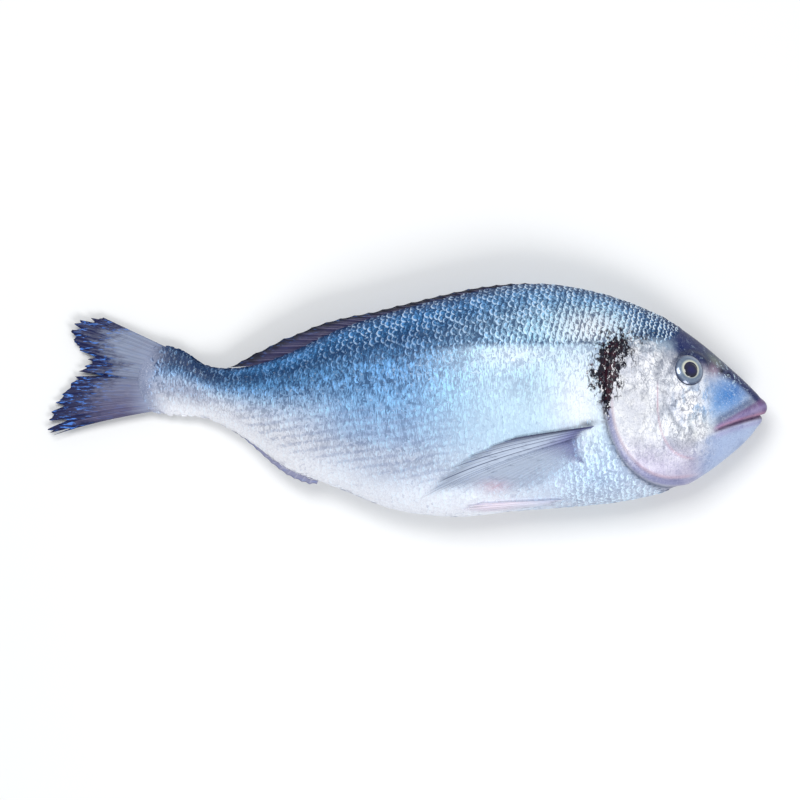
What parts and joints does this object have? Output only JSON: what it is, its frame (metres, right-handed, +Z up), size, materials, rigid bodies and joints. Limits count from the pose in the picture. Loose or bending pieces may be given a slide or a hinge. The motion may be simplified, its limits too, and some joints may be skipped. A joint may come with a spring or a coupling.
{
  "type": "whole raw sea bream",
  "caption": "Whole raw sea bream lying on its flank, with a deep oval body, silver-blue scales, a forked tail and folded fins",
  "frame": {"origin": "the middle of the bounding box seen from above, on the surface that the fish lies on", "axes": "+X runs from the tail to the snout, +Y from the belly to the back fin, and +Z up, out of the right flank"},
  "size_m": [0.3214, 0.1035, 0.0436],
  "materials": {
    "silver_skin": "wet silver-blue scales, darker steel blue along the back and pale on the belly"
  },
  "bodies": {
    "root": {"sea_bream": "silver_skin"}
  },
  "joints": []
}
